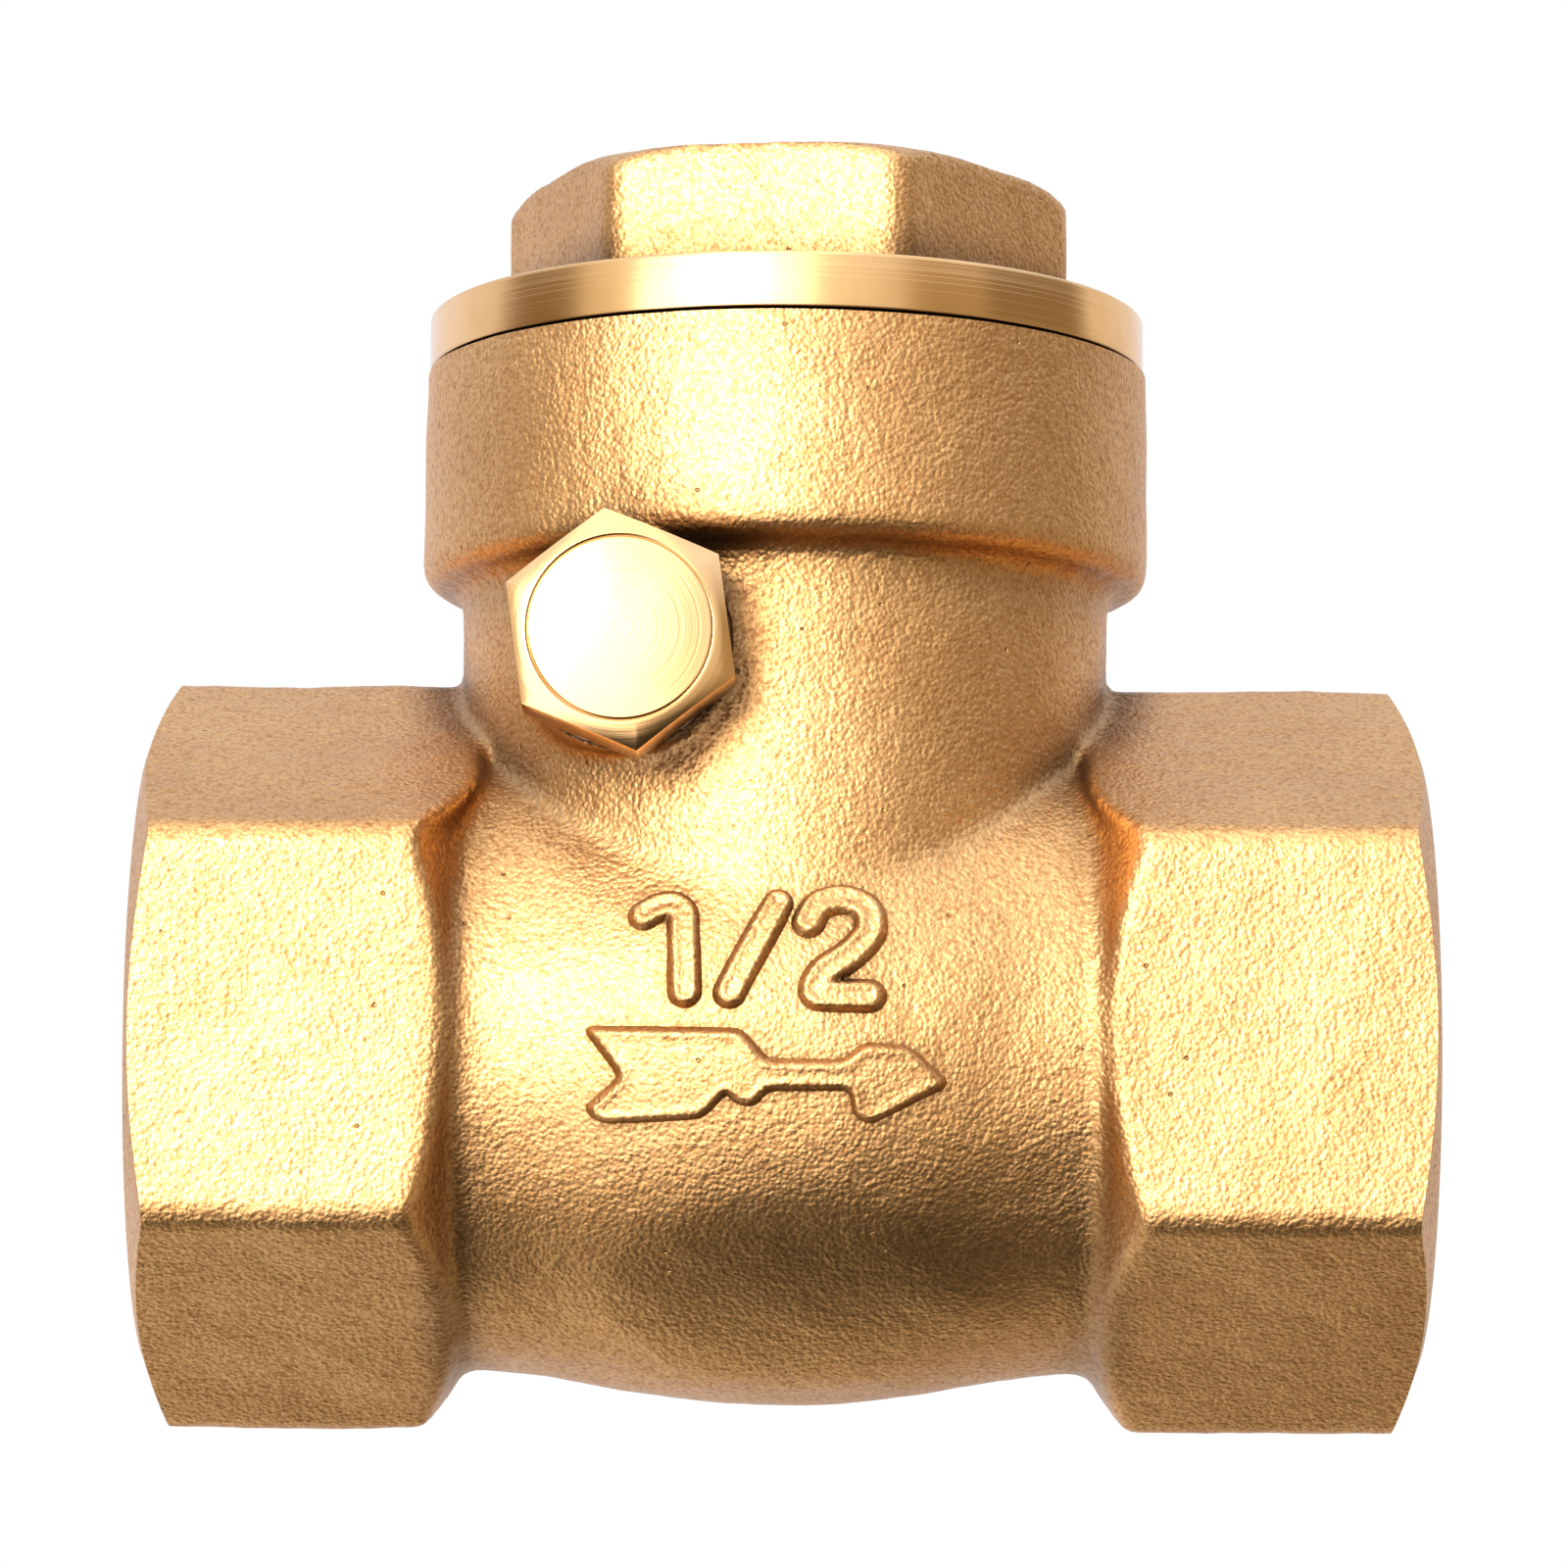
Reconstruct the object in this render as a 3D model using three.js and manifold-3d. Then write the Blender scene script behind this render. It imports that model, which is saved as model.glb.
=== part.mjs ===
// Swing check valve, 1/2 inch, cast brass with female threaded ends.
//
// Millimetres. The origin is where the flow axis crosses the bonnet axis. Flow runs along +X,
// +Z points up to the bonnet cap, and -Y is the front, where the hinge pin's plug sits.

import * as THREE from 'three';
import { mergeVertices } from 'three/addons/utils/BufferGeometryUtils.js';
import Module from 'manifold-3d';

const wasm = await Module();
wasm.setup();

// ---- Driving dimensions ---------------------------------------------------------------------

const FINE_SIDES = 56;
const SMALL_SIDES = 24;
const SLIVER = 0.3; // clearance between pieces that touch on the real valve
const RUNNING = 0.1; // radial clearance of the hinge pin
const BEYOND = 1; // how far a cutting shape overshoots the face that it opens

const end = {
  reach: 25, // half of the face-to-face length
  acrossFlats: 26,
  faceRadius: 12.4, // circle left flat by the outer chamfer
  outerChamfer: 0.95,
  innerFace: 11.9, // where the hexagon starts, measured from the bonnet axis
  innerChamfer: 2.1,
  tapRadius: 9.3, // minor radius of the G 1/2 thread
  tapBottom: 13,
  mouthRadius: 10.9,
  mouthDepth: 1.6,
};

const barrel = {
  radius: 13.88, // at the middle of the belly
  endRadius: 12.6,
  bulge: 72, // the belly falls away as x squared over this
  wall: 2,
};

const neck = { radius: 12.9, bore: 10.9, shoulder: 19.3 };

const collar = {
  radius: 14.5,
  underside: 19,
  top: 27.15,
  bore: 12,
  recessRadius: 13.5, // counterbore that holds the gasket
  recessFloor: 25.9,
};

const seat = { face: -8.8, wall: -9.6, orifice: 5.75, rimRadius: 6.9 };

const cap = {
  spigotRadius: 11.75,
  spigotBottom: 20,
  flangeRadius: 14.37,
  flangeBottom: 27.45,
  flangeTop: 29.32,
  hexAcrossFlats: 20,
  hexTurn: 23 * THREE.MathUtils.DEG2RAD,
  top: 35,
  hollowRadius: 9.8,
  hollowTop: 31,
};

const pin = { x: -6.2, z: 14.65, radius: 1.5, front: -10.2, rear: 10 };

const plug = {
  acrossFlats: 8.1,
  hexTurn: -8 * THREE.MathUtils.DEG2RAD,
  faceRadius: 3.42,
  face: -16.5,
  headBack: -13.3,
  shankRadius: 3,
  shankEnd: -6.6,
  boreBottom: -10.6,
};

const plugBoss = { radius: 4.1, face: -12.5, tappedRadius: 3.15, spotFaceRadius: 5 };

const rearBoss = { radius: 3, face: 6.3 };

const arm = {
  hubRadius: 2.6,
  hubHalfWidth: 6,
  eyeRadius: 4.1,
  eyeBore: 2.1,
  front: -4.8,
  back: -3,
  rootHalfWidth: 5,
};

const disc = {
  radius: 7.7,
  front: -6.9,
  back: -5.1,
  rimFront: -7.9, // the rim that cups the seal
  rimInner: 7.25,
  bossRadius: 2,
  bossFront: -8.55,
};

const stud = { radius: 1.95, end: 0.2, screwHole: 1.4, screwHoleEnd: -6 };

const seal = { radius: 7, bore: 2.3, front: -8.65, back: -7.2 };

const retainer = { radius: 4.2, front: -9.65, back: -8.85 };

const screw = { headRadius: 2.4, headFront: -10.85, headBack: -9.85, shankRadius: 1.2, shankEnd: -6.3 };

const washer = { radius: 3.6, front: -2.8, back: -2.3 };

const nut = { acrossFlats: 6, front: -2.1, back: -0.1 };

const capGasket = { inner: 12.1, outer: 13.3, bottom: 26.1, top: 27.1 };

const plugGasket = { inner: 3.2, outer: 4, front: -13.1, back: -12.7 };

const pinAxis = [pin.x, 0, pin.z];

// ---- Solids ---------------------------------------------------------------------------------

// A closed three.js geometry as a solid, with its seams merged and its faces pointing out.
function solidFrom(geometry) {
  const plain = geometry.clone();
  plain.deleteAttribute('normal');
  plain.deleteAttribute('uv');
  const merged = mergeVertices(plain, 1e-4);
  const positions = merged.attributes.position.array;
  const corner = (i) => new THREE.Vector3().fromArray(positions, 3 * i);
  const triangles = [];
  let volume = 0;
  for (let i = 0; i < merged.index.count; i += 3) {
    const [a, b, c] = [0, 1, 2].map((k) => merged.index.getX(i + k));
    if (a !== b && b !== c && c !== a) {
      triangles.push([a, b, c]);
      volume += corner(a).dot(corner(b).cross(corner(c)));
    }
  }
  const facing = volume < 0 ? triangles.map(([a, b, c]) => [a, c, b]) : triangles;
  return new wasm.Manifold(
    new wasm.Mesh({ numProp: 3, vertProperties: positions, triVerts: new Uint32Array(facing.flat()) }),
  );
}

// Turns a shape made about three.js's Y axis to the named axis.
const alongAxis = {
  x: (geometry) => geometry.rotateZ(-Math.PI / 2),
  y: (geometry) => geometry,
  z: (geometry) => geometry.rotateX(Math.PI / 2),
};

// A solid of revolution from [radius, distance along the axis] points.
function turned(axis, profile, { sides = FINE_SIDES, at = [0, 0, 0] } = {}) {
  const points = profile.map(([radius, along]) => new THREE.Vector2(radius, along));
  const geometry = alongAxis[axis](new THREE.LatheGeometry(points, sides));
  return solidFrom(geometry.translate(...at));
}

function rod(axis, radius, from, to, options) {
  return turned(axis, [[0, from], [radius, from], [radius, to], [0, to]], options);
}

function ring(axis, inner, outer, from, to, options) {
  const profile = [[inner, from], [outer, from], [outer, to], [inner, to], [inner, from]];
  return turned(axis, profile, options);
}

function hexagon(axis, acrossFlats, from, to, { turn = 0, at = [0, 0, 0] } = {}) {
  const radius = acrossFlats / Math.sqrt(3);
  const prism = new THREE.CylinderGeometry(radius, radius, to - from, 6);
  prism.rotateY(turn).translate(0, (from + to) / 2, 0);
  return solidFrom(alongAxis[axis](prism).translate(...at));
}

function box(low, high) {
  const size = high.map((value, i) => value - low[i]);
  const centre = high.map((value, i) => (value + low[i]) / 2);
  return solidFrom(new THREE.BoxGeometry(...size).translate(...centre));
}

// ---- Valve body -----------------------------------------------------------------------------

function bellyRadius(x) {
  return Math.max(barrel.endRadius, barrel.radius - (x * x) / barrel.bulge);
}

// Points along the belly between two stations, lowered by the wall where wanted.
function bellyPoints(from, to, wall) {
  const steps = 12;
  return Array.from({ length: steps + 1 }, (_, i) => {
    const x = from + ((to - from) * i) / steps;
    return [bellyRadius(x) - wall, x];
  });
}

// One hexagonal end, chamfered at its face and where it meets the barrel. side is -1 or 1.
function hexEnd(side) {
  const corner = end.acrossFlats / Math.sqrt(3) + 0.2;
  const chamferedRound = [
    [0, side * end.innerFace],
    [end.faceRadius, side * end.innerFace],
    [corner, side * (end.innerFace + end.innerChamfer)],
    [corner, side * (end.reach - end.outerChamfer)],
    [end.faceRadius, side * end.reach],
    [0, side * end.reach],
  ];
  const [from, to] = [side * end.innerFace, side * end.reach].sort((a, b) => a - b);
  return hexagon('x', end.acrossFlats, from, to).intersect(turned('x', chamferedRound));
}

function bodyOutside() {
  const belly = turned('x', [
    [0, -end.tapBottom],
    ...bellyPoints(-end.tapBottom, end.tapBottom, 0),
    [0, end.tapBottom],
  ]);
  const tower = turned('z', [
    [0, 0],
    [neck.radius, 0],
    [neck.radius, collar.underside - 2],
    [collar.radius - 1.1, collar.underside - 1.3],
    [collar.radius - 0.33, collar.underside - 0.7],
    [collar.radius, collar.underside],
    [collar.radius, collar.top],
    [0, collar.top],
  ]);
  const boss = rod('y', plugBoss.radius, plugBoss.face, -neck.bore / 2, { sides: SMALL_SIDES, at: pinAxis });
  return belly.add(tower).add(boss).add(hexEnd(-1)).add(hexEnd(1));
}

// The threaded socket of one end, at its minor radius, with a lead-in at its mouth.
function tappedEnd(side) {
  return turned('x', [
    [0, side * end.tapBottom],
    [end.tapRadius, side * end.tapBottom],
    [end.tapRadius, side * (end.reach - end.mouthDepth)],
    [end.mouthRadius, side * end.reach],
    [end.mouthRadius, side * (end.reach + BEYOND)],
    [0, side * (end.reach + BEYOND)],
  ]);
}

// The chamber behind the seat, which leaves the seat's raised ring standing.
function chamber() {
  return turned('x', [
    [0, seat.face],
    [seat.rimRadius, seat.face],
    [seat.rimRadius, seat.wall],
    ...bellyPoints(seat.wall, end.tapBottom + BEYOND, barrel.wall),
    [0, end.tapBottom + BEYOND],
  ]);
}

function neckBore() {
  const aboveSeat = rod('z', neck.bore, seat.rimRadius + 2, collar.recessFloor);
  const overChamber = rod('z', neck.bore, 0, collar.recessFloor);
  const downstream = box([seat.wall, -neck.radius, 0], [neck.radius, neck.radius, collar.recessFloor]);
  return aboveSeat.add(overChamber.intersect(downstream));
}

function makeBody() {
  const pinHole = { sides: SMALL_SIDES, at: pinAxis };
  return bodyOutside()
    .subtract(tappedEnd(-1))
    .subtract(tappedEnd(1))
    .subtract(rod('x', seat.orifice, -end.tapBottom - BEYOND, seat.face + BEYOND))
    .subtract(chamber())
    .subtract(neckBore())
    .subtract(rod('z', collar.bore, neck.shoulder, collar.top + BEYOND))
    .subtract(rod('z', collar.recessRadius, collar.recessFloor, collar.top + BEYOND))
    .subtract(rod('y', plugBoss.spotFaceRadius, -collar.radius - BEYOND, plugBoss.face, pinHole))
    .subtract(rod('y', plugBoss.tappedRadius, plugBoss.face - BEYOND, 0, pinHole))
    .add(rod('y', rearBoss.radius, rearBoss.face, neck.bore - 1, pinHole))
    .subtract(rod('y', pin.radius + RUNNING, 0, pin.rear + SLIVER, pinHole));
}

// ---- Bonnet ---------------------------------------------------------------------------------

function makeBonnetCap() {
  const hexCorner = cap.hexAcrossFlats / Math.sqrt(3);
  const topRounding = turned('z', [
    [0, cap.flangeBottom],
    [hexCorner, cap.flangeBottom],
    [hexCorner, cap.top - 0.7],
    [hexCorner - 1.2, cap.top],
    [0, cap.top],
  ]);
  const head = hexagon('z', cap.hexAcrossFlats, cap.flangeBottom, cap.top, { turn: cap.hexTurn });
  return head
    .intersect(topRounding)
    .add(rod('z', cap.flangeRadius, cap.flangeBottom, cap.flangeTop))
    .add(rod('z', cap.spigotRadius, cap.spigotBottom, cap.flangeTop))
    .subtract(rod('z', cap.hollowRadius, cap.spigotBottom - BEYOND, cap.hollowTop));
}

function makeCapGasket() {
  return ring('z', capGasket.inner, capGasket.outer, capGasket.bottom, capGasket.top);
}

// ---- Hinge pin and its plug -----------------------------------------------------------------

function makePinPlug() {
  const options = { sides: SMALL_SIDES, at: pinAxis };
  const corner = plug.acrossFlats / Math.sqrt(3) + 0.1;
  const chamferDepth = (corner - plug.faceRadius) * Math.tan(Math.PI / 6);
  const chamferedRound = turned('y', [
    [0, plug.headBack],
    [corner, plug.headBack],
    [corner, plug.face + chamferDepth],
    [plug.faceRadius, plug.face],
    [0, plug.face],
  ], options);
  return hexagon('y', plug.acrossFlats, plug.face, plug.headBack, { turn: plug.hexTurn, at: pinAxis })
    .intersect(chamferedRound)
    .add(rod('y', plug.shankRadius, plug.headBack - BEYOND, plug.shankEnd, options))
    .subtract(rod('y', pin.radius + RUNNING, plug.boreBottom, plug.shankEnd + BEYOND, options));
}

function makePlugGasket() {
  const options = { sides: SMALL_SIDES, at: pinAxis };
  return ring('y', plugGasket.inner, plugGasket.outer, plugGasket.front, plugGasket.back, options);
}

function makeHingePin() {
  return rod('y', pin.radius, pin.front, pin.rear, { sides: SMALL_SIDES, at: pinAxis });
}

// ---- Clapper --------------------------------------------------------------------------------

// The arm's flat web: the eye around the stud, widening up to the hub.
function armWeb() {
  const outline = new THREE.Shape();
  const slope = Math.asin((arm.rootHalfWidth - arm.eyeRadius) / pin.z);
  outline.moveTo(arm.rootHalfWidth, pin.z);
  outline.lineTo(-arm.rootHalfWidth, pin.z);
  outline.absarc(0, 0, arm.eyeRadius, Math.PI - slope, 2 * Math.PI + slope, false);
  outline.closePath();
  const web = new THREE.ExtrudeGeometry(outline, {
    depth: arm.back - arm.front,
    bevelEnabled: false,
    curveSegments: SMALL_SIDES,
  });
  const intoPlace = new THREE.Matrix4().makeBasis(
    new THREE.Vector3(0, 1, 0),
    new THREE.Vector3(0, 0, 1),
    new THREE.Vector3(1, 0, 0),
  );
  return solidFrom(web.applyMatrix4(intoPlace).translate(arm.front, 0, 0));
}

function makeHingeArm() {
  const hub = rod('y', arm.hubRadius, -arm.hubHalfWidth, arm.hubHalfWidth, { sides: SMALL_SIDES, at: pinAxis });
  const reamed = rod('y', pin.radius + RUNNING, -arm.hubHalfWidth - BEYOND, arm.hubHalfWidth + BEYOND, {
    sides: SMALL_SIDES,
    at: pinAxis,
  });
  return armWeb()
    .add(hub)
    .subtract(reamed)
    .subtract(rod('x', arm.eyeBore, arm.front - BEYOND, arm.back + BEYOND, { sides: SMALL_SIDES }));
}

function makeDisc() {
  const turnedDisc = turned('x', [
    [0, disc.bossFront],
    [disc.bossRadius, disc.bossFront],
    [disc.bossRadius, disc.front],
    [disc.rimInner, disc.front],
    [disc.rimInner, disc.rimFront],
    [disc.radius, disc.rimFront],
    [disc.radius, disc.back],
    [stud.radius, disc.back],
    [stud.radius, stud.end],
    [0, stud.end],
  ], { sides: SMALL_SIDES * 1.5 });
  const screwHole = rod('x', stud.screwHole, disc.bossFront - BEYOND, stud.screwHoleEnd, { sides: SMALL_SIDES });
  return turnedDisc.subtract(screwHole);
}

function makeDiscSeal() {
  return ring('x', seal.bore, seal.radius, seal.front, seal.back, { sides: SMALL_SIDES * 1.5 });
}

function makeSealRetainer() {
  return ring('x', stud.screwHole, retainer.radius, retainer.front, retainer.back, { sides: SMALL_SIDES });
}

function makeSealScrew() {
  return turned('x', [
    [0, screw.headFront],
    [screw.headRadius - 0.6, screw.headFront],
    [screw.headRadius, screw.headFront + 0.5],
    [screw.headRadius, screw.headBack],
    [screw.shankRadius, screw.headBack],
    [screw.shankRadius, screw.shankEnd],
    [0, screw.shankEnd],
  ], { sides: SMALL_SIDES });
}

function makeDiscWasher() {
  return ring('x', arm.eyeBore, washer.radius, washer.front, washer.back, { sides: SMALL_SIDES });
}

function makeDiscNut() {
  return hexagon('x', nut.acrossFlats, nut.front, nut.back)
    .subtract(rod('x', arm.eyeBore, nut.front - BEYOND, nut.back + BEYOND, { sides: SMALL_SIDES }));
}

// ---- Assembly -------------------------------------------------------------------------------

const castBrass = { color: 0xc79a5e, roughness: 0.5, metalness: 0.9 };
const turnedBrass = { color: 0xe0b876, roughness: 0.22, metalness: 1 };
const forgedBrass = { color: 0xcfa25f, roughness: 0.38, metalness: 0.95 };
const steel = { color: 0xbfc2c4, roughness: 0.25, metalness: 1 };
const rubber = { color: 0x1b1b1c, roughness: 0.85, metalness: 0 };
const fibre = { color: 0xe6e2d6, roughness: 0.7, metalness: 0 };

function mesh(name, solid, finish) {
  const { vertProperties, triVerts } = solid.getMesh();
  const geometry = new THREE.BufferGeometry();
  geometry.setAttribute('position', new THREE.BufferAttribute(new Float32Array(vertProperties), 3));
  geometry.setIndex(new THREE.BufferAttribute(new Uint32Array(triVerts), 1));
  geometry.computeVertexNormals();
  const made = new THREE.Mesh(geometry, new THREE.MeshStandardMaterial(finish));
  made.name = name;
  return made;
}

const fixedPieces = new THREE.Group();
fixedPieces.add(
  mesh('body', makeBody(), castBrass),
  mesh('hinge_pin', makeHingePin(), steel),
);

const bonnet = new THREE.Group();
bonnet.add(
  mesh('bonnet_cap', makeBonnetCap(), castBrass),
  mesh('cap_gasket', makeCapGasket(), fibre),
);

const pinClosure = new THREE.Group();
pinClosure.add(
  mesh('pin_plug', makePinPlug(), turnedBrass),
  mesh('plug_gasket', makePlugGasket(), fibre),
);

const clapper = new THREE.Group();
clapper.add(
  mesh('hinge_arm', makeHingeArm(), forgedBrass),
  mesh('disc', makeDisc(), turnedBrass),
  mesh('disc_seal', makeDiscSeal(), rubber),
  mesh('seal_retainer', makeSealRetainer(), turnedBrass),
  mesh('seal_screw', makeSealScrew(), steel),
  mesh('disc_washer', makeDiscWasher(), steel),
  mesh('disc_nut', makeDiscNut(), turnedBrass),
);

const valve = new THREE.Group();
valve.add(fixedPieces, bonnet, pinClosure, clapper);

export default valve;
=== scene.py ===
"""Looks of a half inch swing check valve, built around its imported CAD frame.

Lengths in this script are millimetres until a mesh is made, which turns them into metres.
The frame has the flow along +X, the bonnet along +Z and the front, with the pin's plug, at -Y.
"""

import math

import bmesh
import bpy
import numpy as np
import openvdb
from mathutils import Matrix, Vector


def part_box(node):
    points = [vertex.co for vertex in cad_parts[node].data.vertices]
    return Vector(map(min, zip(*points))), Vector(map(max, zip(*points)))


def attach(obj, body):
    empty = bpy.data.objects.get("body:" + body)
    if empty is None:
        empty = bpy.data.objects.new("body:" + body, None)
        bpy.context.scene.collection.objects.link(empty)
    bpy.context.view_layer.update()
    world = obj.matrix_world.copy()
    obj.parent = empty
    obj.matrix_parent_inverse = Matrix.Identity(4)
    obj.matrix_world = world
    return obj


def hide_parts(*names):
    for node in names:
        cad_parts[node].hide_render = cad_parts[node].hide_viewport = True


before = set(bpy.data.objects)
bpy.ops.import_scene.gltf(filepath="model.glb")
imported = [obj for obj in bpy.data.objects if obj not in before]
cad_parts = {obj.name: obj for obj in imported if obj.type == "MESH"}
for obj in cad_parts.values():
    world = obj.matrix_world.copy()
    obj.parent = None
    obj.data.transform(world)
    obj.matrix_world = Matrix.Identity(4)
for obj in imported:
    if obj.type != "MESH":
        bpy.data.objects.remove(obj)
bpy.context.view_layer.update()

MM = 0.001
SIDES = 144
SMALL_SIDES = 72


def span(node):
    """A CAD node's lowest and highest corners, in millimetres."""
    low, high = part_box(node)
    return np.array(low) / MM, np.array(high) / MM


# ---- Driving dimensions -----------------------------------------------------------------------

CAP_LOW, CAP_HIGH = span("bonnet_cap")
PLUG_LOW, PLUG_HIGH = span("pin_plug")
PIN_LOW, PIN_HIGH = span("hinge_pin")

END_FACE = span("body")[1][0]
END_ACROSS_FLATS = 26.0
END_FACE_RADIUS = 12.4
END_CORNER = END_ACROSS_FLATS / math.sqrt(3)
END_CHAMFER = 0.95
HEX_INNER_FACE = 12.45
HEX_INNER_CHAMFER = 1.85
HEX_OUTLET_SHIFT = 0.4

PORT_MINOR = 9.32
PORT_MAJOR = 10.48
PORT_PITCH = 25.4 / 14
PORT_BOTTOM = 13.0
PORT_MOUTH = 10.9

BELLY_RADIUS = 13.88
BELLY_END_RADIUS = 12.6
BELLY_BULGE = 72.0
WALL = 2.0
FLAT_SPOT_TILT = math.radians(49)
FLAT_SPOT_DEPTH = 0.60
FLAT_SPOT_RADIUS = 34.0

NECK_RADIUS = 12.9
NECK_BORE = 10.9
NECK_SHOULDER = 19.3
COLLAR_RADIUS = 14.5
COLLAR_UNDERSIDE = 18.65
COLLAR_ROUNDING = 0.9
RECESS_RADIUS = 13.5
RECESS_FLOOR = 25.9

SEAT_FACE = -8.8
SEAT_WALL = -9.6
SEAT_RIM = 6.9
SEAT_ORIFICE = 5.75

CAP_THREAD_MINOR = 11.05
CAP_THREAD_MAJOR = 11.85
CAP_PITCH = 1.5
CAP_HOLLOW_RADIUS = 9.8
CAP_HOLLOW_TOP = 31.0
CAP_ACROSS_FLATS = 20.0
CAP_TURN = math.radians(23)
FLANGE_RADIUS = (CAP_HIGH[0] - CAP_LOW[0]) / 2
FLANGE_TOP = 29.64
FLANGE_BOTTOM = 27.45
COLLAR_TOP = FLANGE_BOTTOM - 0.14

PIN_X = (PIN_LOW[0] + PIN_HIGH[0]) / 2
PIN_Z = (PIN_LOW[2] + PIN_HIGH[2]) / 2
PIN_RADIUS = (PIN_HIGH[2] - PIN_LOW[2]) / 2
PIN_CLEARANCE = 0.1
PLUG_ACROSS_FLATS = 8.1
PLUG_TURN = math.radians(98)
PLUG_FACE_RADIUS = 3.42
PLUG_HEAD_BACK = -13.3
PLUG_THREAD_MINOR = 2.45
PLUG_THREAD_MAJOR = 3.0
PLUG_PITCH = 1.0
SPOT_FACE = -12.5
SPOT_FACE_RADIUS = 4.25
BOSS_RADIUS = 4.1
REAR_BOSS_RADIUS = 3.0
REAR_BOSS_FACE = 6.3
PLUG_HOLE_BOTTOM = -5
THREAD_GAP = 0.14

rng = np.random.default_rng(12)


# ---- Mesh tools -------------------------------------------------------------------------------


def along(axis, points):
    """Turns points made about Z so that they lie about the named axis."""
    order = {"x": (2, 0, 1), "y": (1, 2, 0), "z": (0, 1, 2)}[axis]
    return points[:, order]


def loft(rows, sides=SIDES, ring=False):
    """A closed solid about Z from (radius, height) rows, where a radius may be one number for each side.

    The two ends are closed to the axis, or the last row joins the first if it is a ring."""
    angles = np.arange(sides) * 2 * math.pi / sides
    points = np.array(
        [
            np.column_stack([radius * np.cos(angles), radius * np.sin(angles), np.full(sides, height)])
            for radius, height in rows
        ]
    ).reshape(-1, 3)
    index = np.arange(len(rows) * sides).reshape(len(rows), sides)
    nearer, further = (index, np.roll(index, -1, 0)) if ring else (index[:-1], index[1:])
    after = np.roll(nearer, -1, 1), np.roll(further, -1, 1)
    faces = np.stack([nearer, after[0], after[1], further], -1).reshape(-1, 4).tolist()
    if not ring:
        first, last = len(points), len(points) + 1
        points = np.vstack([points, [[0, 0, rows[0][1]], [0, 0, rows[-1][1]]]])
        faces += [[first, b, a] for a, b in zip(index[0], np.roll(index[0], -1))]
        faces += [[last, a, b] for a, b in zip(index[-1], np.roll(index[-1], -1))]
    return points, faces


def rounded(profile, radius, ring=False, steps=4):
    """The profile's points with each corner turned into a small arc."""
    points = [np.array(p, float) for p in profile]
    made = []
    for i, corner in enumerate(points):
        if not ring and i in (0, len(points) - 1):
            made.append(tuple(corner))
            continue
        before, after = points[i - 1] - corner, points[(i + 1) % len(points)] - corner
        reach = min(radius, np.linalg.norm(before) * 0.45, np.linalg.norm(after) * 0.45)
        start = corner + before / np.linalg.norm(before) * reach
        stop = corner + after / np.linalg.norm(after) * reach
        for t in np.linspace(0, 1, steps + 1):
            made.append(tuple((1 - t) ** 2 * start + 2 * t * (1 - t) * corner + t**2 * stop))
    return made


def turned(profile, axis, at=(0, 0, 0), corner=0.12, sides=SIDES, ring=False):
    """A turned solid from (radius, distance along the axis) points, with its corners eased."""
    points, faces = loft(rounded(profile, corner, ring), sides, ring)
    return along(axis, points) + np.array(at), faces


def thread_rows(minor, major, pitch, low, high, sides=SIDES, direction=1, fade=0.0):
    """Rows of a right-handed thread between two heights, with flats on its crests and roots.

    Direction is -1 where the rows are mirrored afterwards, and the fade is each end's run-out."""
    heights = np.arange(low, high, pitch / 14)
    angles = np.arange(sides) / sides
    rows = []
    for height in heights:
        turn = (height / pitch - direction * angles) % 1
        ramp = np.clip((np.abs(2 * turn - 1) - 0.12) / 0.76, 0, 1)
        depth = 1.0
        if fade:
            depth = min(1.0, (height - low) / fade, (high - height) / fade)
        rows.append((minor + (major - minor) * ramp * max(depth, 0), height))
    return rows


def field_mesh(field, low, spacing):
    """The surface where a sampled distance field is zero, as points and quads facing out."""
    grid = openvdb.FloatGrid(background=float(field.max()))
    grid.copyFromArray(np.ascontiguousarray(field, dtype=np.float32))
    grid.transform = openvdb.createLinearTransform(voxelSize=spacing)
    points, quads = grid.convertToQuads(isovalue=0.0)
    points = np.asarray(points, float) + np.array(low)
    quads = np.asarray(quads, int)
    a, b, c = (points[quads[:, k]] for k in (0, 1, 2))
    d = points[quads[:, 3]]
    volume = np.einsum("ij,ij->", a, np.cross(b, c)) + np.einsum("ij,ij->", a, np.cross(c, d))
    if volume < 0:
        quads = quads[:, ::-1]
    return points, quads.tolist()


def bare_object(name, points, faces):
    mesh = bpy.data.meshes.new(name)
    mesh.from_pydata((np.asarray(points) * MM).tolist(), [], faces)
    mesh.validate()
    made = bpy.data.objects.new(name, mesh)
    bpy.context.scene.collection.objects.link(made)
    return made


def combine(target, shape, operation):
    """Joins or cuts target with a shape given as points and faces."""
    tool = bare_object("tool", *shape)
    modifier = target.modifiers.new("combine", "BOOLEAN")
    modifier.operation = operation
    modifier.solver = "MANIFOLD"
    modifier.object = tool
    apply_modifiers(target)
    bpy.data.objects.remove(tool)


def apply_modifiers(target):
    graph = bpy.context.evaluated_depsgraph_get()
    result = bpy.data.meshes.new_from_object(target.evaluated_get(graph))
    target.modifiers.clear()
    target.data = result


def drop_slivers(piece):
    """Collapses the needle faces that cuts leave, all narrower than a thousandth of a millimetre."""
    mesh = bmesh.new()
    mesh.from_mesh(piece.data)
    bmesh.ops.dissolve_degenerate(mesh, edges=mesh.edges, dist=0.001 * MM)
    mesh.to_mesh(piece.data)
    mesh.free()


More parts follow.
